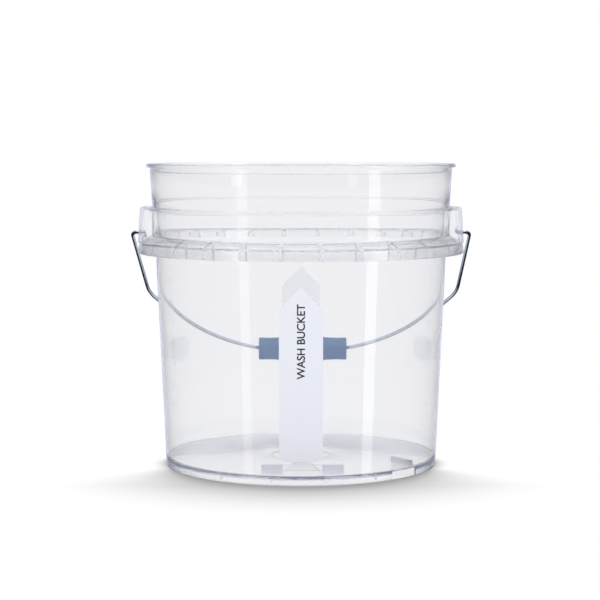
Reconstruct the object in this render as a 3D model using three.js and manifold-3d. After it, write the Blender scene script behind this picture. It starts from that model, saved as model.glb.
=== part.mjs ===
// A clear moulded wash bucket with a stacking skirt, a swinging wire bail and a rolling grip.
// Millimetres, +Z up. The origin is the centre of the base, on the bucket's axis.
// The bail's pivot axis runs along X, and at rest the bail hangs behind the bucket, towards +Y.
import * as THREE from "three";
import { mergeVertices } from "three/addons/utils/BufferGeometryUtils.js";
import Module from "manifold-3d";

const wasm = await Module();
wasm.setup();

// Driving dimensions
const rimRadius = 151; // outside of the rim: an 11.9 inch pail
const height = 294.4;
const wall = 2;
const lowerTaper = 0.0453; // radius gained per millimetre of height below the skirt
const baseRadius = 132.35; // the lower wall's outside, carried down to the ground
const pivotZ = 227.4;
const wireRadius = 1.7;
const bailReach = 200.4; // pivot axis to grip axis
const gap = 0.3; // between solids that touch

// The moulding
const ribCount = 26;
const segments = 2 * ribCount; // facets round the axis: every rib stands on a corner
const bite = 1; // how far a joined plate runs into the wall beside it
const neckBottom = { r: 143.5, z: 226.3 };
const neckTop = { r: 147.2, z: 290 };
const rim = { thick: 3.5, round: 0.8 };
const ledge = { r: 149.5, top: 252, thick: 2.4 }; // the ring above the skirt that meets the ears' tops
const skirt = { stepZ: 219, rootUnder: 222.6, rootZ: 225, ridge: 157.2, ridgeZ: 218.6, wall: 1.9 };
const skirtEdge = { r: 159.4, z: 208, wallFrom: 206 };
const ribWall = 1.8;
const floor = { top: 8.6, under: 5.6, footOuter: 133, footInner: 128.5 };
const underRing = { outer: 120, inner: 118, z: 1 };
const gateRing = { outer: 30, inner: 28, z: 4.2 };
const footRibCount = 16;

// The ears
const ear = { topFace: 155.8, footFace: 158, plate: 3, halfWidth: 18, side: 2, top: 252, roof: 2.2 };
const boss = { radius: 6, proud: 0.8, hole: 2.7 };

// The bail, in its own plane: u along the pivot axis, v away from it
const wireSides = 8;
const bendSteps = 5;
const elbow = { u: 165.6, bend: 5 };
const shoulder = { u: 157.2, v: 99, bend: 45 };
const bow = { centre: 45.1, radius: 161, endsAt: 53, steps: 10 };
const bowShift = 2; // the hand-bent bow and its grip sit this far towards +X
const hook = { u: 152.2, bend: 2.6, drop: 4 };

// The grip
const grip = { length: 94, end: 11.8, waist: 11.4, swell: 13.8, bore: 2.5, lip: 1.4 };
const gripWaist = 0.66; // where the waist lies, as a share of the way from the middle to the end
const gripFacets = 24;
const swellSteps = 6;
const wireShows = 1; // straight wire past each end of the grip

// The label, wrapped round the front of the lower wall
const panel = { half: 20.15, bottom: 22.7, shoulder: 163, apex: 185, chamfer: 5 };
const backing = { half: 17.2, bottom: 24, shoulder: 186, apex: 203, chamfer: 4 };
const labelThick = 0.3;

const lowerRadius = (z) => baseRadius + lowerTaper * z;
const neckTaper = (neckTop.r - neckBottom.r) / (neckTop.z - neckBottom.z);
const neckRadius = (z) => neckBottom.r + neckTaper * (z - neckBottom.z);
const ridgeUnder = skirt.ridgeZ - skirt.wall;

// The angle from straight down at which the grip's swell comes to rest on the lower wall
function restAngle() {
  const lean = Math.atan(lowerTaper);
  const offset = lowerRadius(pivotZ) + (grip.swell + gap) / Math.cos(lean);
  return Math.asin((offset * Math.cos(lean)) / bailReach) - lean;
}

// A geometry as a solid, and a solid as a geometry
function solidOf(geometry) {
  const bare = geometry.clone();
  bare.deleteAttribute("normal");
  bare.deleteAttribute("uv");
  const merged = mergeVertices(bare);
  const vertProperties = merged.attributes.position.array;
  const triVerts = new Uint32Array(merged.index.array);
  return new wasm.Manifold(new wasm.Mesh({ numProp: 3, vertProperties, triVerts }));
}

function geometryOf(solid) {
  const mesh = solid.getMesh();
  const geometry = new THREE.BufferGeometry();
  geometry.setAttribute("position", new THREE.BufferAttribute(mesh.vertProperties, 3));
  geometry.setIndex(new THREE.BufferAttribute(mesh.triVerts, 1));
  geometry.computeVertexNormals();
  return geometry;
}

// A profile of [radius, height] corners, turned about the Z axis
function turned(profile, count = segments) {
  const points = profile.map(([r, z]) => new THREE.Vector2(r, z));
  return new THREE.LatheGeometry(points, count).rotateX(Math.PI / 2);
}

const ring = (profile) => turned([...profile, profile[0]]);

// An outline in the XZ plane, given depth along Y and centred on it
function plateXZ(outline, depth) {
  const shape = new THREE.Shape(outline.map(([x, z]) => new THREE.Vector2(x, z)));
  const plate = new THREE.ExtrudeGeometry(shape, { depth, bevelEnabled: false });
  return plate.translate(0, 0, -depth / 2).rotateX(Math.PI / 2);
}

// A rod along X with its middle at a given place on the pivot axis
function pivotRod(radius, length, x) {
  const rod = new THREE.CylinderGeometry(radius, radius, length, 16);
  return solidOf(rod.rotateZ(Math.PI / 2).translate(x, 0, pivotZ));
}

// Plates standing out from the axis, one on every step round it
function addRound(solid, plate, count, offset) {
  let joined = solid;
  for (let i = 0; i < count; i += 1) {
    const angle = offset + (2 * Math.PI * i) / count;
    joined = joined.add(solidOf(plate.clone().rotateZ(angle)));
  }
  return joined;
}

function floorGeometry() {
  const edge = lowerRadius(floor.top);
  const disc = turned([
    [0, floor.under],
    [gateRing.inner, floor.under],
    [gateRing.inner, gateRing.z],
    [gateRing.outer, gateRing.z],
    [gateRing.outer, floor.under],
    [underRing.inner, floor.under],
    [underRing.inner, underRing.z],
    [underRing.outer, underRing.z],
    [underRing.outer, floor.under],
    [floor.footInner, floor.under],
    [floor.footInner, 0],
    [floor.footOuter, 0],
    [floor.footOuter, floor.under],
    [edge, floor.top],
    [0, floor.top],
  ]);
  const rib = plateXZ(
    [
      [underRing.inner + bite, underRing.z],
      [floor.footInner + bite, underRing.z],
      [floor.footInner + bite, floor.under + bite],
      [underRing.inner + bite, floor.under + bite],
    ],
    ribWall,
  );
  return geometryOf(addRound(solidOf(disc), rib, footRibCount, Math.PI / footRibCount));
}

function lowerWallGeometry() {
  const bottom = floor.top + gap;
  const top = skirtEdge.wallFrom - gap;
  return ring([
    [lowerRadius(bottom) - wall, bottom],
    [lowerRadius(bottom), bottom],
    [lowerRadius(top), top],
    [lowerRadius(top) - wall, top],
  ]);
}

function upperWallGeometry() {
  const ledgeUnder = ledge.top - ledge.thick;
  const rimUnder = height - rim.thick;
  return ring([
    [neckBottom.r - wall, neckBottom.z],
    [neckBottom.r, neckBottom.z],
    [neckRadius(ledgeUnder), ledgeUnder],
    [ledge.r, ledgeUnder],
    [ledge.r, ledge.top],
    [neckRadius(ledge.top), ledge.top],
    [neckTop.r, neckTop.z],
    [rimRadius - rim.round, rimUnder],
    [rimRadius, rimUnder + rim.round],
    [rimRadius, height - rim.round],
    [rimRadius - rim.round, height],
    [neckTop.r - wall, height],
  ]);
}

// How far out the ear's face stands at a height: it leans out towards its foot
function earFace(z) {
  const share = (ear.top - z) / (ear.top - skirt.ridgeZ);
  return ear.topFace + (ear.footFace - ear.topFace) * share;
}

// A block behind the leaning face of the right ear, or of the left one when side is -1
function earBlock(side, inner, inset, halfWidth, bottom, top) {
  const outline = [
    [inner, bottom],
    [earFace(bottom) - inset, bottom],
    [earFace(top) - inset, top],
    [inner, top],
  ];
  const block = plateXZ(outline, 2 * halfWidth);
  return solidOf(side > 0 ? block : block.rotateZ(Math.PI));
}

// The space inside an ear where the bail's hook turns, open at the bottom
function pocketSolid(side) {
  const inner = neckBottom.r + gap;
  const halfWidth = ear.halfWidth - ear.side;
  return earBlock(side, inner, ear.plate, halfWidth, ridgeUnder, ear.top - ear.roof);
}

function skirtGeometry() {
  const root = neckBottom.r;
  const bottom = lowerRadius(skirtEdge.wallFrom);
  const top = neckBottom.z - gap;
  const apron = ring([
    [bottom - wall, skirtEdge.wallFrom],
    [bottom, skirtEdge.wallFrom],
    [lowerRadius(skirt.stepZ), skirt.stepZ],
    [root, skirt.rootUnder],
    [skirt.ridge - skirt.wall, ridgeUnder],
    [skirtEdge.r - skirt.wall, skirtEdge.z],
    [skirtEdge.r, skirtEdge.z],
    [skirt.ridge, skirt.ridgeZ],
    [root, skirt.rootZ],
    [root, top],
    [root - wall, top],
  ]);
  const rib = plateXZ(
    [
      [bottom - bite, skirtEdge.z + bite],
      [skirtEdge.r - bite, skirtEdge.z + bite],
      [skirt.ridge - bite, ridgeUnder + bite],
      [root - bite, skirt.rootUnder + bite],
    ],
    ribWall,
  );
  const ribbed = addRound(solidOf(apron), rib, ribCount, 0);
  return geometryOf(ribbed.subtract(pocketSolid(1)).subtract(pocketSolid(-1)));
}

// Everything the ears must stay clear of, filled in to the axis
function neckAndSkirtSolid() {
  const ledgeUnder = ledge.top - ledge.thick - gap;
  const outside = skirtEdge.r + ear.plate;
  return solidOf(
    turned([
      [0, skirtEdge.z],
      [outside, skirtEdge.z],
      [outside, skirt.ridgeZ + gap],
      [skirt.ridge, skirt.ridgeZ + gap],
      [neckBottom.r + gap, skirt.rootZ + gap],
      [neckRadius(ledgeUnder) + gap, ledgeUnder],
      [ledge.r + gap, ledgeUnder],
      [ledge.r + gap, ledge.top + gap],
      [0, ledge.top + gap],
    ]),
  );
}

function earGeometry(side) {
  const face = earFace(pivotZ);
  const block = earBlock(side, neckBottom.r - 2 * wall, 0, ear.halfWidth, skirt.ridgeZ, ear.top);
  const raised = pivotRod(boss.radius, ear.plate, side * (face + boss.proud - ear.plate / 2));
  const drill = pivotRod(boss.hole, 4 * ear.plate, side * face);
  const hollow = block.add(raised).subtract(pocketSolid(side));
  return geometryOf(hollow.subtract(drill).subtract(neckAndSkirtSolid()));
}

// A curve through a list of points, with a section at each of them
class PointRoute extends THREE.Curve {
  constructor(points) {
    super();
    this.points = points;
  }

  getUtoTmapping(u) {
    return u;
  }

  getPoint(t, target = new THREE.Vector3()) {
    const last = this.points.length - 1;
    const place = Math.min(Math.max(t, 0), 1) * last;
    const index = Math.min(Math.floor(place), last - 1);
    return target.lerpVectors(this.points[index], this.points[index + 1], place - index);
  }
}

// Points on an arc in the bail's plane, from one angle to another
function arcPoints(centre, radius, from, to, steps) {
  const points = [];
  for (let i = 0; i <= steps; i += 1) {
    const angle = from + ((to - from) * i) / steps;
    const turn = new THREE.Vector2(Math.cos(angle), Math.sin(angle)).multiplyScalar(radius);
    points.push(turn.add(centre));
  }
  return points;
}

// The bend that rounds the corner between two straight stretches
function bendPoints(before, corner, after, radius, steps) {
  const back = before.clone().sub(corner).normalize();
  const on = after.clone().sub(corner).normalize();
  const half = Math.acos(back.dot(on)) / 2;
  const reach = radius / Math.sin(half);
  const centre = back.clone().add(on).normalize().multiplyScalar(reach).add(corner);
  const start = back.multiplyScalar(radius / Math.tan(half)).add(corner).sub(centre);
  const end = on.multiplyScalar(radius / Math.tan(half)).add(corner).sub(centre);
  const from = Math.atan2(start.y, start.x);
  const sweep = Math.atan2(start.cross(end), start.dot(end));
  return arcPoints(centre, radius, from, from + sweep, steps);
}

// One side of the bail in its own plane, from the hook's tip to the end of the grip, with u towards
// that side: the right hook turns up and the left one down
function bailSide(side) {
  const shift = side * bowShift;
  const tip = new THREE.Vector2(hook.u, -side * (hook.bend + hook.drop));
  const hookCorner = new THREE.Vector2(hook.u, 0);
  const elbowCorner = new THREE.Vector2(elbow.u, 0);
  const shoulderCorner = new THREE.Vector2(shoulder.u + shift, shoulder.v);
  const bowCentre = new THREE.Vector2(shift, bow.centre);
  const toShoulder = shoulderCorner.clone().sub(bowCentre);
  const touch = toShoulder.angle() + Math.acos(bow.radius / toShoulder.length());
  const bowEnd = Math.acos(bow.endsAt / bow.radius);
  const bowPoints = arcPoints(bowCentre, bow.radius, touch, bowEnd, bow.steps);
  return [
    tip,
    ...bendPoints(tip, hookCorner, elbowCorner, hook.bend, bendSteps),
    ...bendPoints(hookCorner, elbowCorner, shoulderCorner, elbow.bend, bendSteps),
    ...bendPoints(elbowCorner, shoulderCorner, bowPoints[0], shoulder.bend, bendSteps),
    ...bowPoints,
    new THREE.Vector2(grip.length / 2 + wireShows + shift, bailReach),
  ];
}

function bailGeometry() {
  const right = bailSide(1);
  const left = bailSide(-1).map((p) => new THREE.Vector2(-p.x, p.y));
  const middle = new THREE.Vector2(bowShift, bailReach);
  const route = [...right, middle, ...left.reverse()].map((p) => new THREE.Vector3(p.x, p.y, 0));
  const lastSide = (2 * Math.PI * (wireSides - 1)) / wireSides;
  const corners = arcPoints(new THREE.Vector2(), wireRadius, 0, lastSide, wireSides - 1);
  const section = new THREE.Shape(corners);
  const steps = route.length - 1;
  const extrudePath = new PointRoute(route);
  const wire = new THREE.ExtrudeGeometry(section, { steps, extrudePath, bevelEnabled: false });
  return wire.rotateX(restAngle() - Math.PI / 2).translate(0, 0, pivotZ);
}

// Half of the grip's outline from its middle to its end, as [distance, radius]
function gripOutline() {
  const half = grip.length / 2;
  const waistAt = half * gripWaist;
  const outline = [];
  for (let i = 0; i <= swellSteps; i += 1) {
    const share = i / swellSteps;
    const ease = (1 + Math.cos(Math.PI * share)) / 2;
    outline.push([waistAt * share, grip.waist + (grip.swell - grip.waist) * ease]);
  }
  outline.push([half - grip.lip, grip.end]);
  outline.push([half, grip.end - grip.lip]);
  return outline;
}

function gripGeometry() {
  const half = grip.length / 2;
  const upper = gripOutline();
  const lower = upper.slice(1).map(([along, r]) => [-along, r]);
  const outside = [...lower.reverse(), ...upper].map(([along, r]) => [r, along]);
  const profile = [[grip.bore, -half], ...outside, [grip.bore, half], [grip.bore, -half]];
  const body = turned(profile, gripFacets).rotateY(Math.PI / 2);
  const angle = restAngle();
  const back = bailReach * Math.sin(angle);
  const down = bailReach * Math.cos(angle);
  return body.translate(bowShift, back, pivotZ - down);
}

// A thin sheet that follows the front of the lower wall, standing off it by a distance
function labelGeometry(size, standOff) {
  const band = ring([
    [lowerRadius(0) + standOff, 0],
    [lowerRadius(0) + standOff + labelThick, 0],
    [lowerRadius(skirtEdge.wallFrom) + standOff + labelThick, skirtEdge.wallFrom],
    [lowerRadius(skirtEdge.wallFrom) + standOff, skirtEdge.wallFrom],
  ]);
  const depth = rimRadius;
  const outline = plateXZ(
    [
      [size.chamfer - size.half, size.bottom],
      [size.half - size.chamfer, size.bottom],
      [size.half, size.bottom + size.chamfer],
      [size.half, size.shoulder],
      [0, size.apex],
      [-size.half, size.shoulder],
      [-size.half, size.bottom + size.chamfer],
    ],
    depth,
  );
  outline.translate(0, -depth / 2, 0);
  return geometryOf(solidOf(band).intersect(solidOf(outline)));
}

const clearPlastic = { color: 0xe4e6f0, roughness: 0.16, metalness: 0, transparent: true, opacity: 0.4 };
const bluePlastic = { color: 0x5f7fa8, roughness: 0.45, metalness: 0 };
const darkSteel = { color: 0x2b3036, roughness: 0.4, metalness: 0.9 };
const greyFilm = { color: 0xc4c8d4, roughness: 0.5, metalness: 0 };
const whiteFilm = { color: 0xeaecf4, roughness: 0.5, metalness: 0 };

function piece(name, geometry, finish) {
  const mesh = new THREE.Mesh(geometry, new THREE.MeshStandardMaterial(finish));
  mesh.name = name;
  return mesh;
}

const bucket = new THREE.Group();
bucket.add(piece("bucket_floor", floorGeometry(), clearPlastic));
bucket.add(piece("lower_wall", lowerWallGeometry(), clearPlastic));
bucket.add(piece("upper_wall", upperWallGeometry(), clearPlastic));
bucket.add(piece("skirt", skirtGeometry(), clearPlastic));
bucket.add(piece("ear_right", earGeometry(1), clearPlastic));
bucket.add(piece("ear_left", earGeometry(-1), clearPlastic));
bucket.add(piece("label_backing", labelGeometry(backing, gap), greyFilm));
bucket.add(piece("label_panel", labelGeometry(panel, gap + labelThick + gap), whiteFilm));

const swingingHandle = new THREE.Group();
swingingHandle.add(piece("bail_wire", bailGeometry(), darkSteel));
swingingHandle.add(piece("grip", gripGeometry(), bluePlastic));

const washBucket = new THREE.Group();
washBucket.add(bucket);
washBucket.add(swingingHandle);

export default washBucket;
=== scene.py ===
from math import acos, asin, atan, cos, pi, radians, sin, tan

import bmesh
import bpy
from mathutils import Matrix, Vector


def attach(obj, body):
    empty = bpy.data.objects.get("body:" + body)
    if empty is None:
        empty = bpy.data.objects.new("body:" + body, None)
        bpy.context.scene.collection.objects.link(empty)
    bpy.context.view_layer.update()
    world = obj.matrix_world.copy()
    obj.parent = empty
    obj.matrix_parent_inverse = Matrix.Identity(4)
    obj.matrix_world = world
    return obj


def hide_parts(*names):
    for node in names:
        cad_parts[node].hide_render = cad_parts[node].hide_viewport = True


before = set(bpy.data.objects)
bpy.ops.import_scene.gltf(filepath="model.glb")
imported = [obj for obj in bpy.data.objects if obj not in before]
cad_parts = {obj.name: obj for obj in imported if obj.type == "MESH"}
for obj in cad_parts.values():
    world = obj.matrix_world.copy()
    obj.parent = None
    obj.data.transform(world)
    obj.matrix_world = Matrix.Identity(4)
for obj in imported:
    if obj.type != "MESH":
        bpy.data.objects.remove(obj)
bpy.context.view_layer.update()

mm = 0.001  # shapes are worked out in millimetres and scaled by this at the end
print("frame loaded")


def linear(hexColour, alpha=1.0):
    channels = [int(hexColour[i:i + 2], 16) / 255 for i in (1, 3, 5)]
    return [c / 12.92 if c <= 0.04045 else ((c + 0.055) / 1.055) ** 2.4 for c in channels] + [alpha]


def addNode(tree, kind, settings={}, inputs={}, links={}):
    node = tree.nodes.new(kind)
    for name, value in settings.items():
        setattr(node, name, value)
    for name, value in inputs.items():
        node.inputs[name].default_value = value
    for name, socket in links.items():
        tree.links.new(socket, node.inputs[name])
    return node


def startMaterial(name, surface):
    material = bpy.data.materials.new(name)
    material.use_nodes = True
    tree = material.node_tree
    tree.nodes.clear()
    shader = addNode(tree, "ShaderNodeBsdfPrincipled", inputs=surface)
    addNode(tree, "ShaderNodeOutputMaterial", links={"Surface": shader.outputs[0]})
    place = addNode(tree, "ShaderNodeTexCoord").outputs["Object"]
    return material, tree, shader, place


def grainedMaterial(name, surface, grain, depth, detail=3.0, strength=1.0):
    # A plain material with a fine bump, whose grain and depth are in millimetres.
    material, tree, shader, place = startMaterial(name, surface)
    noise = addNode(
        tree,
        "ShaderNodeTexNoise",
        inputs={"Scale": 1 / (grain * mm), "Detail": detail},
        links={"Vector": place},
    )
    bump = addNode(
        tree,
        "ShaderNodeBump",
        inputs={"Distance": depth * mm, "Strength": strength},
        links={"Height": noise.outputs[0]},
    )
    tree.links.new(bump.outputs[0], shader.inputs["Normal"])
    return material


# Clear polypropylene, injection moulded: sharp glints, a faint blue where it is seen edge on,
# and slow waves where the melt flowed up the mould.
clearPlasticLook = {
    "roughness": 0.035,
    "colour": "#fcfcfd",
    "softColour": "#fefeff",
    "softRoughness": 0.15,
    # heights where the mould was textured
    "softBands": [(0.05, 7.5), (206, 226), (249, 252.4), (289, 300)],
    "tallest": 300.0,  # the top of the last band
    "clearShare": 0.97,  # the rest is haze
    "edgeTint": "#a2aed2",
    "tintPerMetre": 11.0,
    "waveLength": 34.0,  # millimetres round the wall; three times that up it
    "waveDepth": 0.018,
}


def clearPlastic():
    look = clearPlasticLook
    surface = {"IOR": 1.49, "Transmission Weight": look["clearShare"]}
    material, tree, shader, place = startMaterial("clearMouldedPlastic", surface)
    pull = addNode(tree, "ShaderNodeMapping", inputs={"Scale": (1, 1, 1 / 3)}, links={"Vector": place})
    wave = addNode(
        tree,
        "ShaderNodeTexNoise",
        inputs={"Scale": 1 / (look["waveLength"] * mm), "Detail": 1.0, "Roughness": 0.4},
        links={"Vector": pull.outputs[0]},
    )
    bump = addNode(
        tree,
        "ShaderNodeBump",
        inputs={"Strength": 1.0, "Distance": look["waveDepth"] * mm},
        links={"Height": wave.outputs[0]},
    )
    tree.links.new(bump.outputs[0], shader.inputs["Normal"])

    # A ramp up the height of the bucket, white in each soft band.
    height = addNode(tree, "ShaderNodeSeparateXYZ", links={0: place}).outputs[2]
    tallest = look["tallest"] * mm
    share = addNode(tree, "ShaderNodeMath", {"operation": "DIVIDE"}, {1: tallest}, {0: height})
    soft = addNode(tree, "ShaderNodeValToRGB", links={0: share.outputs[0]})
    soft.color_ramp.interpolation = "CONSTANT"
    stops = soft.color_ramp.elements
    stops.remove(stops[1])
    for bottom, top in look["softBands"]:
        stops.new(bottom / look["tallest"]).color = (1, 1, 1, 1)
        if top < look["tallest"]:
            stops.new(top / look["tallest"]).color = (0, 0, 0, 1)
    finish = addNode(
        tree,
        "ShaderNodeMapRange",
        inputs={"To Min": look["roughness"], "To Max": look["softRoughness"]},
        links={"Value": soft.outputs[0]},
    )
    colour = addNode(
        tree,
        "ShaderNodeMix",
        {"data_type": "RGBA"},
        {6: linear(look["colour"]), 7: linear(look["softColour"])},
        {0: soft.outputs[0]},
    )
    tree.links.new(finish.outputs[0], shader.inputs["Roughness"])
    tree.links.new(colour.outputs[2], shader.inputs["Base Color"])

    tint = addNode(
        tree,
        "ShaderNodeVolumeAbsorption",
        inputs={"Color": linear(look["edgeTint"]), "Density": look["tintPerMetre"]},
    )
    tree.links.new(tint.outputs[0], tree.nodes["Material Output"].inputs["Volume"])
    return material


def texturedPlastic():
    # The same clear polypropylene from a spark-eroded mould, which makes it frosted.
    surface = {
        "Base Color": linear("#e9edf7"),
        "Roughness": 0.3,
        "IOR": 1.49,
        "Transmission Weight": 0.8,
    }
    return grainedMaterial("texturedClearPlastic", surface, grain=0.8, depth=0.05)


def steelWire():
    # Bright drawn steel wire: a mirror in the round, with fine die lines along it.
    surface = {"Base Color": linear("#cddae8"), "Metallic": 1.0, "Roughness": 0.16}
    return grainedMaterial("drawnSteelWire", surface, grain=1.5, depth=0.01)


def bluePlastic():
    # Slate blue polypropylene with a fine spark-eroded texture, which makes it satin.
    surface = {"Base Color": linear("#0c5c96"), "Roughness": 0.5, "IOR": 1.45}
    return grainedMaterial(
        "slateBluePolypropylene", surface, grain=0.8, depth=0.03, detail=4.0, strength=0.6
    )


def labelFilm(name, colour, alpha):
    # Printed polyester film under a matt laminate.
    surface = {"Base Color": linear(colour), "Roughness": 0.45, "IOR": 1.5, "Alpha": alpha}
    return grainedMaterial(name, surface, grain=2.0, depth=0.01)


clear = clearPlastic()
steel = steelWire()
blue = bluePlastic()
print("materials ready")


def roundCorners(corners, closed=False, arcSteps=4):
    # Corners are (r, z, radius). A corner with no radius stays sharp.
    points = []
    count = len(corners)
    for i, (r, z, radius) in enumerate(corners):
        here = Vector((r, z))
        if radius == 0 or (not closed and i in (0, count - 1)):
            points.append(here)
            continue
        back = Vector(corners[i - 1][:2]) - here
        on = Vector(corners[(i + 1) % count][:2]) - here
        half = back.angle(on) / 2
        reach = min(radius / tan(half), 0.49 * back.length, 0.49 * on.length)
        back.normalize()
        on.normalize()
        centre = here + (back + on).normalized() * reach / cos(half)
        start = here + back * reach - centre
        sweep = start.angle_signed(here + on * reach - centre)
        for step in range(arcSteps + 1):
            turned = Matrix.Rotation(-sweep * step / arcSteps, 2) @ start
            points.append(centre + turned)
    return points


def spunMesh(outline, steps, closed=False):
    bm = bmesh.new()
    verts = [bm.verts.new((p.x, 0, p.y)) for p in outline]
    edges = [bm.edges.new(pair) for pair in zip(verts, verts[1:])]
    if closed:
        edges.append(bm.edges.new((verts[-1], verts[0])))
    bmesh.ops.spin(
        bm, geom=verts + edges, cent=(0, 0, 0), axis=(0, 0, 1), dvec=(0, 0, 0),
        angle=2 * pi, steps=steps, use_merge=True, use_duplicate=False,
    )
    bmesh.ops.remove_doubles(bm, verts=bm.verts, dist=1e-4)
    bmesh.ops.recalc_face_normals(bm, faces=bm.faces)
    return bm


def pushOut(bm, faces, vec):
    # Gives flat faces a thickness, and returns the vertices of the new side.
    grown = bmesh.ops.extrude_face_region(bm, geom=faces)["geom"]
    moved = [v for v in grown if isinstance(v, bmesh.types.BMVert)]
    bmesh.ops.translate(bm, vec=vec, verts=moved)
    return moved


def addPlate(bm, outline, thick, turn=0.0):
    # A flat plate with its outline in the XZ plane, centred on that plane, then turned about Z.
    verts = [bm.verts.new((x, -thick / 2, z)) for x, z in outline]
    verts += pushOut(bm, [bm.faces.new(verts)], (0, thick, 0))
    bmesh.ops.rotate(bm, cent=(0, 0, 0), matrix=Matrix.Rotation(turn, 3, "Z"), verts=verts)
    return verts


def softenEdges(bm, verts, radius, segments):
    edges = list(dict.fromkeys(e for v in verts for e in v.link_edges))
    bmesh.ops.bevel(
        bm, geom=edges, offset=radius, affect="EDGES", segments=segments, profile=0.5, material=-1
    )


def addRod(bm, radius, x0, x1, z, segments=48):
    place = Matrix.Translation(((x0 + x1) / 2, 0, z)) @ Matrix.Rotation(pi / 2, 4, "Y")
    bmesh.ops.create_cone(
        bm, cap_ends=True, segments=segments, radius1=radius, radius2=radius,
        depth=abs(x1 - x0), matrix=place,
    )


def makeObject(name, bm):
    mesh = bpy.data.meshes.new(name)
    bm.to_mesh(mesh)
    bm.free()
    piece = bpy.data.objects.new(name, mesh)
    bpy.context.scene.collection.objects.link(piece)
    return piece


def meshOfCurve(name, curve):
    drawn = bpy.data.objects.new(name, curve)
    bpy.context.scene.collection.objects.link(drawn)
    graph = bpy.context.evaluated_depsgraph_get()
    mesh = bpy.data.meshes.new_from_object(drawn.evaluated_get(graph))
    bpy.data.objects.remove(drawn)
    bm = bmesh.new()
    bm.from_mesh(mesh)
    bmesh.ops.remove_doubles(bm, verts=bm.verts, dist=1e-3)
    return bm


def combine(target, bm, operation):
    # Joins or cuts target with the closed shapes in bm, which is used up.
    bmesh.ops.recalc_face_normals(bm, faces=bm.faces)
    tool = makeObject("tool", bm)
    modifier = target.modifiers.new("combine", "BOOLEAN")
    modifier.operation = operation
    modifier.solver = "MANIFOLD"
    modifier.object = tool
    graph = bpy.context.evaluated_depsgraph_get()
    target.data = bpy.data.meshes.new_from_object(target.evaluated_get(graph))
    target.modifiers.clear()
    bpy.data.objects.remove(tool)


def finishPiece(piece, material, body, smoothAngle=35):
    piece.data.transform(Matrix.Scale(mm, 4))
    piece.data.materials.clear()
    piece.data.materials.append(material)
    piece.data.shade_smooth()
    piece.data.set_sharp_from_angle(angle=radians(smoothAngle))
    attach(piece, body)
    return piece


shell = {
    "height": 294.4,
    "wall": 2.0,
    "base": 132.35,  # the lower wall's outside, carried down to the ground
    "taper": 0.0453,  # radius gained per millimetre of height
    "neckBottom": (143.5, 226.3),  # radius and height, as are the next three
    "neckTop": (147.2, 290.0),
    "skirtEdge": (159.4, 208),
    "skirtTop": (157.2, 218.6),
    "ledge": 149.5,
    "ledgeBetween": (249.6, 252),
    "floorTop": 8.6,
    "floorUnder": 5.6,
    "ribs": 26,
    "ribWall": 2.6,
    "ribOutline": [(140.7, 209), (158.4, 209), (156.2, 217.7), (142.5, 223.6)],
    "stepsPerRib": 14,
    "footRibs": 16,
    "footRibWall": 1.8,
    "footRibOutline": [(124, 6.6), (129.6, 1), (129.6, 6.6)],
    "footRibTurn": -1.3,  # degrees
    "pivotZ": 227.4,
}
pocket = {  # the finger pocket in the foot, seen from above
    "outline": [(85, -32), (107, -62), (107, -76), (98, -87), (90, -95.5), (85, -100)],
    "roof": 7.9,
}
thinLug = {"left": -16.5, "right": 19.5, "y": -98, "bottom": 8, "top": 14, "thick": 1.6}
marks = {  # litre marks: a long one at each step and a short one halfway
    "first": 65,
    "step": 40,
    "count": 4,
    "turn": 62,  # degrees from the front
    "wide": 9,
    "tall": 0.9,
    "thick": 1.0,
    "proud": 0.5,
}
ear = {
    "halfWidth": 18.0,
    "root": 141.6,
    "bottom": 217.4,
    "top": 252.0,
    "topFace": 155.8,  # how far out the face is at its top, and at its foot
    "footFace": 158.0,
    "rounding": 0.8,
    "plate": 3.0,
    "side": 2.0,
    "roof": 2.2,
    "hollowRoot": 143.9,
    "hollowBottom": 216,
    "hollowRounding": 0.6,
    "boss": 6,
    "bossProud": 0.8,
    "hole": 2.5,
}


def lowerRadius(z):
    return shell["base"] + shell["taper"] * z


def neckRadius(z):
    (bottomRadius, bottom), (topRadius, top) = shell["neckBottom"], shell["neckTop"]
    return bottomRadius + (topRadius - bottomRadius) * (z - bottom) / (top - bottom)


def shellOutline():
    # The section from the middle of the underside, out and up the outside, and down the inside.
    wall = shell["wall"]
    top = shell["height"]
    under = shell["floorUnder"]
    floorTop = shell["floorTop"]
    neckFoot = shell["neckBottom"][0]
    neckHead = shell["neckTop"][0]
    skirtEdge, skirtBottom = shell["skirtEdge"]
    ledge = shell["ledge"]
    ledgeUnder, ledgeTop = shell["ledgeBetween"]
    return roundCorners([
        # the underside, with a groove round the gate, and the foot
        (0, under, 0), (28, under, 0.4), (28.6, 5.1, 0.3), (29.6, 5.1, 0.3), (30.2, under, 0.4),
        (128.6, under, 1.2), (129.2, 0, 0.8), (132.6, 0, 1.2), (lowerRadius(6), 6, 2),
        # the lower wall, in three lengths so that the ribs don't turn the normals of the long one
        (lowerRadius(14), 14, 0), (lowerRadius(204), 204, 0), (lowerRadius(219), 219, 0.8),
        # the skirt
        (neckFoot, 222.6, 0.6), (155.3, 216.7, 1.2), (157.5, skirtBottom, 0.6),
        (skirtEdge, skirtBottom, 0.8), (*shell["skirtTop"], 2.6), (neckFoot, 225, 0.8),
        # the neck, with its ledge
        (neckRadius(ledgeUnder), ledgeUnder, 0.6), (ledge, ledgeUnder, 0.7),
        (ledge, ledgeTop, 0.7), (neckRadius(ledgeTop), ledgeTop, 0.6),
        # the rim
        (neckHead, 290.9, 0.8), (150.6, 290.9, 0.9), (150.9, 294.2, 1.4), (145.6, top, 1.2),
        # the inside
        (neckHead - wall, 288, 6), (neckFoot - wall, 226, 3), (lowerRadius(217) - wall, 217, 3),
        (lowerRadius(12) - wall, 12, 0), (lowerRadius(floorTop) - wall, floorTop, 2.5),
        (0, floorTop, 0),
    ])


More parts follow.
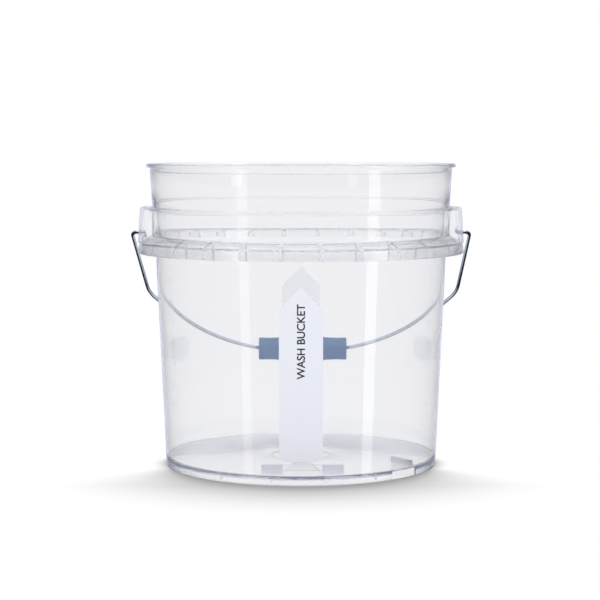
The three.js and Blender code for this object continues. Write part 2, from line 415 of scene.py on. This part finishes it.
def footAngle(i):
    return 2 * pi * (i + 0.5) / shell["footRibs"] + radians(shell["footRibTurn"])


def earFace(z):
    # How far out the ear's leaning face is at a height.
    share = (ear["top"] - z) / (ear["top"] - shell["skirtTop"][1])
    return ear["topFace"] + (ear["footFace"] - ear["topFace"]) * share


def earBlock(bm, side, inner, inset, halfWidth, bottom, top, rounding):
    outline = [
        (inner, bottom),
        (earFace(bottom) - inset, bottom),
        (earFace(top) - inset, top),
        (inner, top),
    ]
    verts = addPlate(bm, outline, 2 * halfWidth, 0 if side > 0 else pi)
    softenEdges(bm, verts, rounding, 3)


def cutPocket(piece):
    cut = bmesh.new()
    face = cut.faces.new([cut.verts.new((x, y, -1)) for x, y in pocket["outline"]])
    pushOut(cut, [face], (0, 0, pocket["roof"] + 1))
    combine(piece, cut, "DIFFERENCE")


def joinThinLug(piece):
    added = bmesh.new()
    left, right, bottom, top = (thinLug[key] for key in ("left", "right", "bottom", "top"))
    outline = [(left, bottom), (right, bottom), (right, top), (left, top)]
    verts = addPlate(added, outline, thinLug["thick"])
    bmesh.ops.translate(added, vec=(0, thinLug["y"], 0), verts=verts)
    combine(piece, added, "UNION")


def joinMarks(piece, side):
    added = bmesh.new()
    turn = Matrix.Rotation(side * radians(marks["turn"]), 3, "Z")
    for i in range(marks["count"]):
        first = marks["first"] + marks["step"] * i
        for width, z in ((marks["wide"], first), (marks["wide"] / 2, first + marks["step"] / 2)):
            top = z + marks["tall"]
            outline = [(-width / 2, z), (width / 2, z), (width / 2, top), (-width / 2, top)]
            verts = addPlate(added, outline, marks["thick"])
            out = lowerRadius(z) + marks["proud"] - marks["thick"] / 2
            bmesh.ops.translate(added, vec=(0, -out, 0), verts=verts)
            bmesh.ops.rotate(added, cent=(0, 0, 0), matrix=turn, verts=verts)
    combine(piece, added, "UNION")


def joinEar(piece, side):
    face = earFace(shell["pivotZ"])
    added = bmesh.new()
    earBlock(added, side, ear["root"], 0, ear["halfWidth"], ear["bottom"], ear["top"], ear["rounding"])
    combine(piece, added, "UNION")
    added = bmesh.new()
    addRod(added, ear["boss"], side * (face - 1), side * (face + ear["bossProud"]), shell["pivotZ"])
    combine(piece, added, "UNION")
    cut = bmesh.new()
    halfWidth = ear["halfWidth"] - ear["side"]
    roof = ear["top"] - ear["roof"]
    bottom, rounding = ear["hollowBottom"], ear["hollowRounding"]
    earBlock(cut, side, ear["hollowRoot"], ear["plate"], halfWidth, bottom, roof, rounding)
    combine(piece, cut, "DIFFERENCE")
    cut = bmesh.new()
    reach = 2 * ear["plate"]
    addRod(cut, ear["hole"], side * (face - reach), side * (face + reach), shell["pivotZ"])
    combine(piece, cut, "DIFFERENCE")


def buildShell():
    bm = spunMesh(shellOutline(), shell["ribs"] * shell["stepsPerRib"])
    piece = makeObject("bucketShell", bm)
    added = bmesh.new()
    for i in range(shell["ribs"]):
        addPlate(added, shell["ribOutline"], shell["ribWall"], 2 * pi * i / shell["ribs"])
    combine(piece, added, "UNION")
    added = bmesh.new()
    for i in range(shell["footRibs"]):
        addPlate(added, shell["footRibOutline"], shell["footRibWall"], footAngle(i))
    combine(piece, added, "UNION")
    cutPocket(piece)
    joinThinLug(piece)
    for side in (1, -1):
        joinMarks(piece, side)
    for side in (1, -1):
        joinEar(piece, side)
    finishPiece(piece, clear, "bucket")
    piece.visible_shadow = False  # clear plastic lets the light through to the floor
    piece.visible_diffuse = False
    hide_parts("bucket_floor", "lower_wall", "upper_wall", "skirt", "ear_right", "ear_left")
    print("shell", len(piece.data.polygons), "faces")


lugs = {
    # ends seen from above: two near the front, and one behind the finger pocket
    "ends": [((-37, -98), (-17, -98)), ((20, -98), (40, -98)), ((87, -50), (104.5, -74))],
    "bottom": 8.65,
    "top": 14.2,
    "thick": 2.0,
    "rounding": 0.3,
}


def buildLugs():
    # Low textured walls that stand on the floor.
    bm = bmesh.new()
    bottom, top = lugs["bottom"], lugs["top"]
    for (x0, y0), (x1, y1) in lugs["ends"]:
        along = Vector((x1, y1)) - Vector((x0, y0))
        outline = [(0, bottom), (along.length, bottom), (along.length, top), (0, top)]
        verts = addPlate(bm, outline, lugs["thick"], along.angle_signed(Vector((1, 0))))
        bmesh.ops.translate(bm, vec=(x0, y0, 0), verts=verts)
        softenEdges(bm, verts, lugs["rounding"], 2)
    bmesh.ops.recalc_face_normals(bm, faces=bm.faces)
    finishPiece(makeObject("floorLugs", bm), texturedPlastic(), "bucket")
    print("floor lugs made")


bail = {
    "radius": 1.7,
    "reach": 200.4,
    "elbow": 165.6,
    "elbowBend": 5.0,
    "shoulder": (157.2, 99.0),
    "shoulderBend": 45.0,
    "bowCentre": 45.1,
    "bowRadius": 161.0,
    "bowEnds": 51.0,
    "bowShift": 2.0,  # the bow and its grip sit this far to one side
    "hook": 152.2,
    "hookBend": 2.6,
    "hookTip": 6.6,
    "straight": 41.2,
    "gripBend": 14,  # where the bow turns into the straight inside the grip
}
grip = {
    "half": 47.0,
    "end": 11.8,
    "waist": 11.4,
    "swell": 13.8,
    "waistAt": 0.8,  # as a share of the way from the middle to the end
    "bore": 2.2,
    "clearOfWall": 0.3,
    "lip": 2.2,
    "socket": 5,  # depth of the hollow in each end
    "webBetween": (1, 6),  # how far in from the end
    "webReach": 9.8,
    "webWall": 1.4,
}


def restAngle():
    # From straight down to where the grip's swell rests on the lower wall.
    lean = atan(shell["taper"])
    offset = lowerRadius(shell["pivotZ"]) + (grip["swell"] + grip["clearOfWall"]) / cos(lean)
    return asin(offset * cos(lean) / bail["reach"]) - lean


def bailSide(side):
    # Half the wire's centre line in the bail's plane, as (along the pivot axis, away from it).
    shift = side * bail["bowShift"]
    centre = Vector((shift, bail["bowCentre"]))
    shoulder = Vector(bail["shoulder"]) + Vector((shift, 0))
    toShoulder = shoulder - centre
    startAngle = toShoulder.angle(Vector((1, 0))) + acos(bail["bowRadius"] / toShoulder.length)
    endAngle = acos(bail["bowEnds"] / bail["bowRadius"])
    bowSteps = 40
    bow = []
    for i in range(bowSteps + 1):
        angle = startAngle + (endAngle - startAngle) * i / bowSteps
        bow.append(centre + Vector((cos(angle), sin(angle))) * bail["bowRadius"])
    bends = [
        (bail["hook"], -side * bail["hookTip"], 0),
        (bail["hook"], 0, bail["hookBend"]),
        (bail["elbow"], 0, bail["elbowBend"]),
        (shoulder.x, shoulder.y, bail["shoulderBend"]),
        (bow[0].x, bow[0].y, 0),
    ]
    straight = bail["straight"] + shift
    entry = [
        (bow[-1].x, bow[-1].y, 0),
        (straight, bail["reach"], bail["gripBend"]),
        (shift, bail["reach"], 0),
    ]
    return roundCorners(bends, arcSteps=10) + bow[1:-1] + roundCorners(entry, arcSteps=6)


def buildBail():
    right = bailSide(1)
    left = [Vector((-p.x, p.y)) for p in bailSide(-1)]
    route = right + left[::-1][1:]
    curve = bpy.data.curves.new("bailWire", "CURVE")
    curve.dimensions = "3D"
    curve.bevel_depth = bail["radius"]
    curve.bevel_resolution = 6
    curve.use_fill_caps = True
    spline = curve.splines.new("POLY")
    spline.points.add(len(route) - 1)
    for point, p in zip(spline.points, route):
        point.co = (p.x, p.y, 0, 1)
    bm = meshOfCurve("bailCurve", curve)
    swing = Matrix.Translation((0, 0, shell["pivotZ"])) @ Matrix.Rotation(restAngle() - pi / 2, 4, "X")
    bmesh.ops.transform(bm, matrix=swing, verts=bm.verts)
    bmesh.ops.recalc_face_normals(bm, faces=bm.faces)
    piece = finishPiece(makeObject("bailWire", bm), steel, "bail", smoothAngle=50)
    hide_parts("bail_wire")
    print("bail made")


def gripOutline():
    # The section along the axis: each end is a lip round a hollow, and the outside swells.
    half, end = grip["half"], grip["end"]
    inLip = end - grip["lip"]
    waistAt = half * grip["waistAt"]
    depth = half - grip["socket"]
    swellSteps = 12
    swell = []
    for i in range(-swellSteps, swellSteps + 1):
        share = i / swellSteps
        ease = (1 + cos(pi * share)) / 2
        swell.append((grip["waist"] + (grip["swell"] - grip["waist"]) * ease, waistAt * share, 0))
    outline = [(grip["bore"], -depth, 0.4), (inLip, -depth, 0.6), (inLip, -half, 0.5), (end, -half, 0.9)]
    outline += swell
    outline += [(end, half, 0.9), (inLip, half, 0.5), (inLip, depth, 0.6), (grip["bore"], depth, 0.4)]
    return outline


def buildGrip():
    half, reach = grip["half"], grip["webReach"]
    piece = makeObject("grip", spunMesh(roundCorners(gripOutline(), closed=True), 96, closed=True))
    webs = bmesh.new()
    for side in (1, -1):
        outer, inner = (side * (half - depth) for depth in grip["webBetween"])
        for turn in (pi / 4, 3 * pi / 4):
            web = [(-reach, outer), (reach, outer), (reach, inner), (-reach, inner)]
            addPlate(webs, web, grip["webWall"], turn)
    combine(piece, webs, "UNION")
    bore = bmesh.new()
    radius = grip["bore"]
    bmesh.ops.create_cone(
        bore, cap_ends=True, segments=32, radius1=radius, radius2=radius, depth=4 * half
    )
    combine(piece, bore, "DIFFERENCE")
    angle = restAngle()
    across = Matrix.Rotation(pi / 2, 4, "Y")
    back = bail["reach"] * sin(angle)
    place = Matrix.Translation((bail["bowShift"], back, shell["pivotZ"] - bail["reach"] * cos(angle)))
    piece.data.transform(place @ across)
    finishPiece(piece, blue, "grip")
    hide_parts("grip")
    print("grip made")


label = {"film": 0.15, "faces": 24}
panel = {
    "half": 20.15,
    "bottom": 22.7,
    "shoulder": 163.0,
    "apex": 185.0,
    "chamfer": 5.0,
    "standOff": 0.3,
}
backing = {
    "half": 17.2,
    "bottom": 24.0,
    "shoulder": 186.0,
    "apex": 203.0,
    "chamfer": 4.0,
    "standOff": 0.08,
}
printing = {
    "words": "WASH BUCKET",
    "size": 10.2,
    "bolder": 0.14,
    "length": 69.0,
    "middle": 134.0,  # height of the middle of the words
    "thick": 0.1,
    "standOff": 0.5,
}


def wrapFront(bm, standOff):
    # Bends a flat mesh in the XZ plane round the front of the lower wall, and its depth outwards.
    for v in bm.verts:
        radius = lowerRadius(v.co.z) + standOff - v.co.y
        turn = v.co.x / lowerRadius(v.co.z)
        v.co = Vector((radius * sin(turn), -radius * cos(turn), v.co.z))


def flatSheet(outline, film, half, strips):
    bm = bmesh.new()
    face = bm.faces.new([bm.verts.new((x, 0, z)) for x, z in outline])
    pushOut(bm, [face], (0, -film, 0))
    for i in range(1, strips):
        x = -half + 2 * half * i / strips
        everything = bm.verts[:] + bm.edges[:] + bm.faces[:]
        bmesh.ops.bisect_plane(bm, geom=everything, dist=1e-5, plane_co=(x, 0, 0), plane_no=(1, 0, 0))
    bmesh.ops.recalc_face_normals(bm, faces=bm.faces)
    return bm


def buildLabelLayer(name, size, material, node):
    half, bottom, chamfer = size["half"], size["bottom"], size["chamfer"]
    outline = [
        (chamfer - half, bottom),
        (half - chamfer, bottom),
        (half, bottom + chamfer),
        (half, size["shoulder"]),
        (0, size["apex"]),
        (-half, size["shoulder"]),
        (-half, bottom + chamfer),
    ]
    bm = flatSheet(outline, label["film"], half, label["faces"])
    wrapFront(bm, size["standOff"])
    piece = finishPiece(makeObject(name, bm), material, "bucket")
    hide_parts(node)


def buildPrinting():
    # Plain words that read upwards, printed thick enough to stay clear of the film.
    words = bpy.data.curves.new("printWords", "FONT")
    words.body = printing["words"]
    words.size = printing["size"]
    words.align_x = "CENTER"
    words.offset = printing["bolder"]
    bm = meshOfCurve("printWords", words)
    across = [v.co.x for v in bm.verts]
    up = [v.co.y for v in bm.verts]
    stretch = printing["length"] / (max(across) - min(across))
    middle = Vector(((max(across) + min(across)) / 2, (max(up) + min(up)) / 2, 0))
    bmesh.ops.translate(bm, vec=-middle, verts=bm.verts)
    bmesh.ops.scale(bm, vec=(stretch, 1, 1), verts=bm.verts)
    for axis in ("Z", "X"):
        bmesh.ops.rotate(bm, cent=(0, 0, 0), matrix=Matrix.Rotation(pi / 2, 3, axis), verts=bm.verts)
    bmesh.ops.translate(bm, vec=(0, 0, printing["middle"]), verts=bm.verts)
    pushOut(bm, bm.faces[:], (0, -printing["thick"], 0))
    bmesh.ops.recalc_face_normals(bm, faces=bm.faces)
    wrapFront(bm, printing["standOff"])
    ink = labelFilm("darkPrintedInk", "#2f323c", 1.0)
    finishPiece(makeObject("labelWords", bm), ink, "bucket")


def buildLabel():
    greyFilm = labelFilm("greyPrintedFilm", "#e9eaf0", 0.45)
    whiteFilm = labelFilm("whitePrintedFilm", "#eef1fa", 1.0)
    buildLabelLayer("labelBacking", backing, greyFilm, "label_backing")
    buildLabelLayer("labelPanel", panel, whiteFilm, "label_panel")
    buildPrinting()
    print("label made")


studio = {
    "floorRadius": 0.75,  # metres, as are all sizes in this section
    "shadeFrom": 0.1305,
    "shadeReach": (0.016, 0.14),  # at the sides of the bucket, in front of it
    "shadeUnder": "#f2f2f2",
    "shade": [
        (0.02, "#969696"),
        (0.08, "#a8a8a8"),
        (0.22, "#c8c8c8"),
        (0.38, "#dadada"),
        (0.55, "#e7e7e7"),
        (0.75, "#f1f1f1"),
    ],
    "shadeBeyond": "#f8f8f8",
    "backHalfAngle": 24,  # degrees of white backdrop either side of straight behind
    "backEdge": 8,  # degrees over which it fades, each way
    "sideDark": 0.06,  # what the walls of the studio give a reflection
    "groundDark": 0.02,  # and what its floor gives one, away from the camera
    "ceilingFrom": 0.62,  # sine of the elevation where the overhead diffuser starts
    "ceilingEdge": 0.12,
    "mirrored": "#d3d8f4",
    "throughAbove": 0.85,  # what is overhead, seen through the plastic
}
view = {
    "place": (-0.0009, -1.8272, 0.3162),
    "down": 4.87,  # degrees
    "lens": 112.01,
    "sensor": 36,
}


def buildFloor():
    bm = bmesh.new()
    bmesh.ops.create_circle(bm, cap_ends=True, segments=96, radius=studio["floorRadius"])
    floor = makeObject("studioFloor", bm)
    surface = {"Roughness": 0.9, "Specular IOR Level": 0.0}
    material, tree, shader, place = startMaterial("paleFloor", surface)
    # Clear plastic casts next to no shadow, so the dark line where it meets the floor is in the paint.
    flat = addNode(tree, "ShaderNodeMapping", inputs={"Scale": (1, 1, 0)}, links={"Vector": place})
    along = addNode(tree, "ShaderNodeSeparateXYZ", links={0: place}).outputs[1]
    distance = addNode(tree, "ShaderNodeVectorMath", {"operation": "LENGTH"}, links={0: flat.outputs[0]})
    beyond = addNode(
        tree,
        "ShaderNodeMath",
        {"operation": "SUBTRACT"},
        {1: studio["shadeFrom"]},
        {0: distance.outputs[1]},
    )
    atSides, inFront = studio["shadeReach"]
    reach = addNode(
        tree,
        "ShaderNodeMapRange",
        inputs={"From Min": -0.04, "From Max": -0.13, "To Min": atSides, "To Max": inFront},
        links={"Value": along},
    )
    # Behind the bucket the shade shrinks to nothing.
    behind = addNode(
        tree,
        "ShaderNodeMapRange",
        inputs={"From Min": 0.0, "From Max": 0.05, "To Min": 1.0, "To Max": 0.001},
        links={"Value": along},
    )
    width = addNode(
        tree, "ShaderNodeMath", {"operation": "MULTIPLY"}, links={0: reach.outputs[0], 1: behind.outputs[0]}
    )
    share = addNode(
        tree, "ShaderNodeMath", {"operation": "DIVIDE"}, links={0: beyond.outputs[0], 1: width.outputs[0]}
    )
    ramp = addNode(tree, "ShaderNodeValToRGB", links={0: share.outputs[0]})
    stops = ramp.color_ramp.elements
    stops[0].position, stops[0].color = 0.0, linear(studio["shadeUnder"])
    stops[1].position, stops[1].color = 1.0, linear(studio["shadeBeyond"])
    for position, colour in studio["shade"]:
        stops.new(position).color = linear(colour)
    tree.links.new(ramp.outputs[0], shader.inputs["Base Color"])
    floor.data.materials.append(material)
    floor.visible_glossy = False  # a mirror-like reflection takes the floor from the world instead


def addLight(name, size, place, aim, radiance, lit=False):
    # A light that nothing sees but a reflection, or, when lit, one that also lights surfaces.
    light = bpy.data.lights.new(name, "AREA")
    light.shape = "RECTANGLE"
    light.size, light.size_y = size
    light.energy = radiance * pi * size[0] * size[1]
    lamp = bpy.data.objects.new(name, light)
    lamp.location = place
    lamp.rotation_euler = (Vector(aim) - Vector(place)).to_track_quat("-Z", "Y").to_euler()
    lamp.visible_camera = False
    lamp.visible_transmission = False
    lamp.visible_diffuse = lit
    bpy.context.scene.collection.objects.link(lamp)
    return lamp


def buildWorld():
    # White for everything seen straight or through the plastic. A mirror-like reflection sees the
    # studio instead: a white backdrop behind, dark walls round the sides and front, a lit ceiling.
    world = bpy.data.worlds.new("studioWorld")
    world.use_nodes = True
    tree = world.node_tree
    tree.nodes.clear()
    toward = addNode(tree, "ShaderNodeTexCoord").outputs["Generated"]
    parts = addNode(tree, "ShaderNodeSeparateXYZ", links={0: toward}).outputs
    azimuth = addNode(tree, "ShaderNodeMath", {"operation": "ARCTAN2"}, links={0: parts[0], 1: parts[1]})
    turn = addNode(tree, "ShaderNodeMath", {"operation": "ABSOLUTE"}, links={0: azimuth.outputs[0]})
    backdrop = addNode(
        tree,
        "ShaderNodeMapRange",
        {"interpolation_type": "SMOOTHSTEP"},
        {
            "From Min": radians(studio["backHalfAngle"] - studio["backEdge"]),
            "From Max": radians(studio["backHalfAngle"] + studio["backEdge"]),
            "To Min": 1.0,
            "To Max": studio["sideDark"],
        },
        {"Value": turn.outputs[0]},
    )
    ceiling = addNode(
        tree,
        "ShaderNodeMapRange",
        {"interpolation_type": "SMOOTHSTEP"},
        {
            "From Min": studio["ceilingFrom"] - studio["ceilingEdge"],
            "From Max": studio["ceilingFrom"] + studio["ceilingEdge"],
        },
        {"Value": parts[2]},
    )
    ground = addNode(
        tree,
        "ShaderNodeMapRange",
        {"interpolation_type": "SMOOTHSTEP"},
        {"From Min": 0.0, "From Max": -0.5, "To Min": studio["groundDark"], "To Max": studio["sideDark"]},
        {"Value": parts[1]},
    )
    below = addNode(
        tree,
        "ShaderNodeMapRange",
        {"interpolation_type": "SMOOTHSTEP"},
        {"From Min": -0.12, "From Max": -0.3},
        {"Value": parts[2]},
    )
    above = addNode(
        tree,
        "ShaderNodeMath",
        {"operation": "MAXIMUM"},
        links={0: backdrop.outputs[0], 1: ceiling.outputs[0]},
    )
    seen = addNode(
        tree, "ShaderNodeMix", links={0: below.outputs[0], 2: above.outputs[0], 3: ground.outputs[0]}
    )
    path = addNode(tree, "ShaderNodeLightPath").outputs
    straight = addNode(
        tree, "ShaderNodeMath", {"operation": "SUBTRACT"}, {0: 1.0}, {1: path["Is Transmission Ray"]}
    )
    mirrored = addNode(
        tree,
        "ShaderNodeMath",
        {"operation": "MULTIPLY"},
        links={0: path["Is Glossy Ray"], 1: straight.outputs[0]},
    )
    overhead = addNode(
        tree,
        "ShaderNodeMapRange",
        {"interpolation_type": "SMOOTHSTEP"},
        {"From Min": 0.1, "From Max": 0.5, "To Min": 1.0, "To Max": studio["throughAbove"]},
        {"Value": parts[2]},
    )
    white = linear("#ffffff")
    mixed = addNode(tree, "ShaderNodeBackground", inputs={"Color": white, "Strength": 1.0})
    through = addNode(
        tree, "ShaderNodeBackground", inputs={"Color": white}, links={"Strength": overhead.outputs[0]}
    )
    walls = addNode(
        tree,
        "ShaderNodeBackground",
        inputs={"Color": linear(studio["mirrored"])},
        links={"Strength": seen.outputs[0]},
    )
    for chosen, seenBy in ((path["Is Transmission Ray"], through), (mirrored.outputs[0], walls)):
        mixed = addNode(
            tree, "ShaderNodeMixShader", links={0: chosen, 1: mixed.outputs[0], 2: seenBy.outputs[0]}
        )
    addNode(tree, "ShaderNodeOutputWorld", links={"Surface": mixed.outputs[0]})
    bpy.context.scene.world = world
    world.cycles.sampling_method = "NONE"  # rays that look for light don't say what kind they are


def buildStudio():
    buildWorld()
    middle = (0, 0, 0)
    addLight("topBox", (1.6, 1.6), (0, 0, 2.2), middle, radiance=0.6, lit=True)
    addLight("overheadGlint", (1.6, 0.9), (0, -0.5, 2.2), middle, radiance=3.0)
    # The tall strips glint down the plastic walls only.
    walls = bpy.data.collections.new("plasticWalls")
    walls.objects.link(bpy.data.objects["bucketShell"])
    halfWay = (0, 0, 0.15)
    strips = [
        addLight("rightStrip", (0.36, 2.4), (1.646, -1.136, 0.6), halfWay, radiance=2.6),
        addLight("leftStrip", (0.3, 2.4), (-1.38, -1.45, 0.6), halfWay, radiance=1.5),
    ]
    for strip in strips:
        strip.light_linking.receiver_collection = walls
    print("lights ready")


def buildCamera():
    camera = bpy.data.cameras.new("camera")
    camera.sensor_width = view["sensor"]
    camera.lens = view["lens"]
    holder = bpy.data.objects.new("camera", camera)
    holder.location = view["place"]
    holder.rotation_euler = (radians(90 - view["down"]), 0, 0)
    bpy.context.scene.collection.objects.link(holder)
    bpy.context.scene.camera = holder
    bpy.context.scene.view_settings.view_transform = "Standard"
    # Light bounces many times inside clear plastic before it leaves, and is black if it is cut off.
    cycles = bpy.context.scene.cycles
    cycles.max_bounces = 40
    cycles.glossy_bounces = 32
    cycles.transmission_bounces = 40


buildCamera()
buildShell()
buildLugs()
buildBail()
buildGrip()
buildLabel()
buildFloor()
buildStudio()
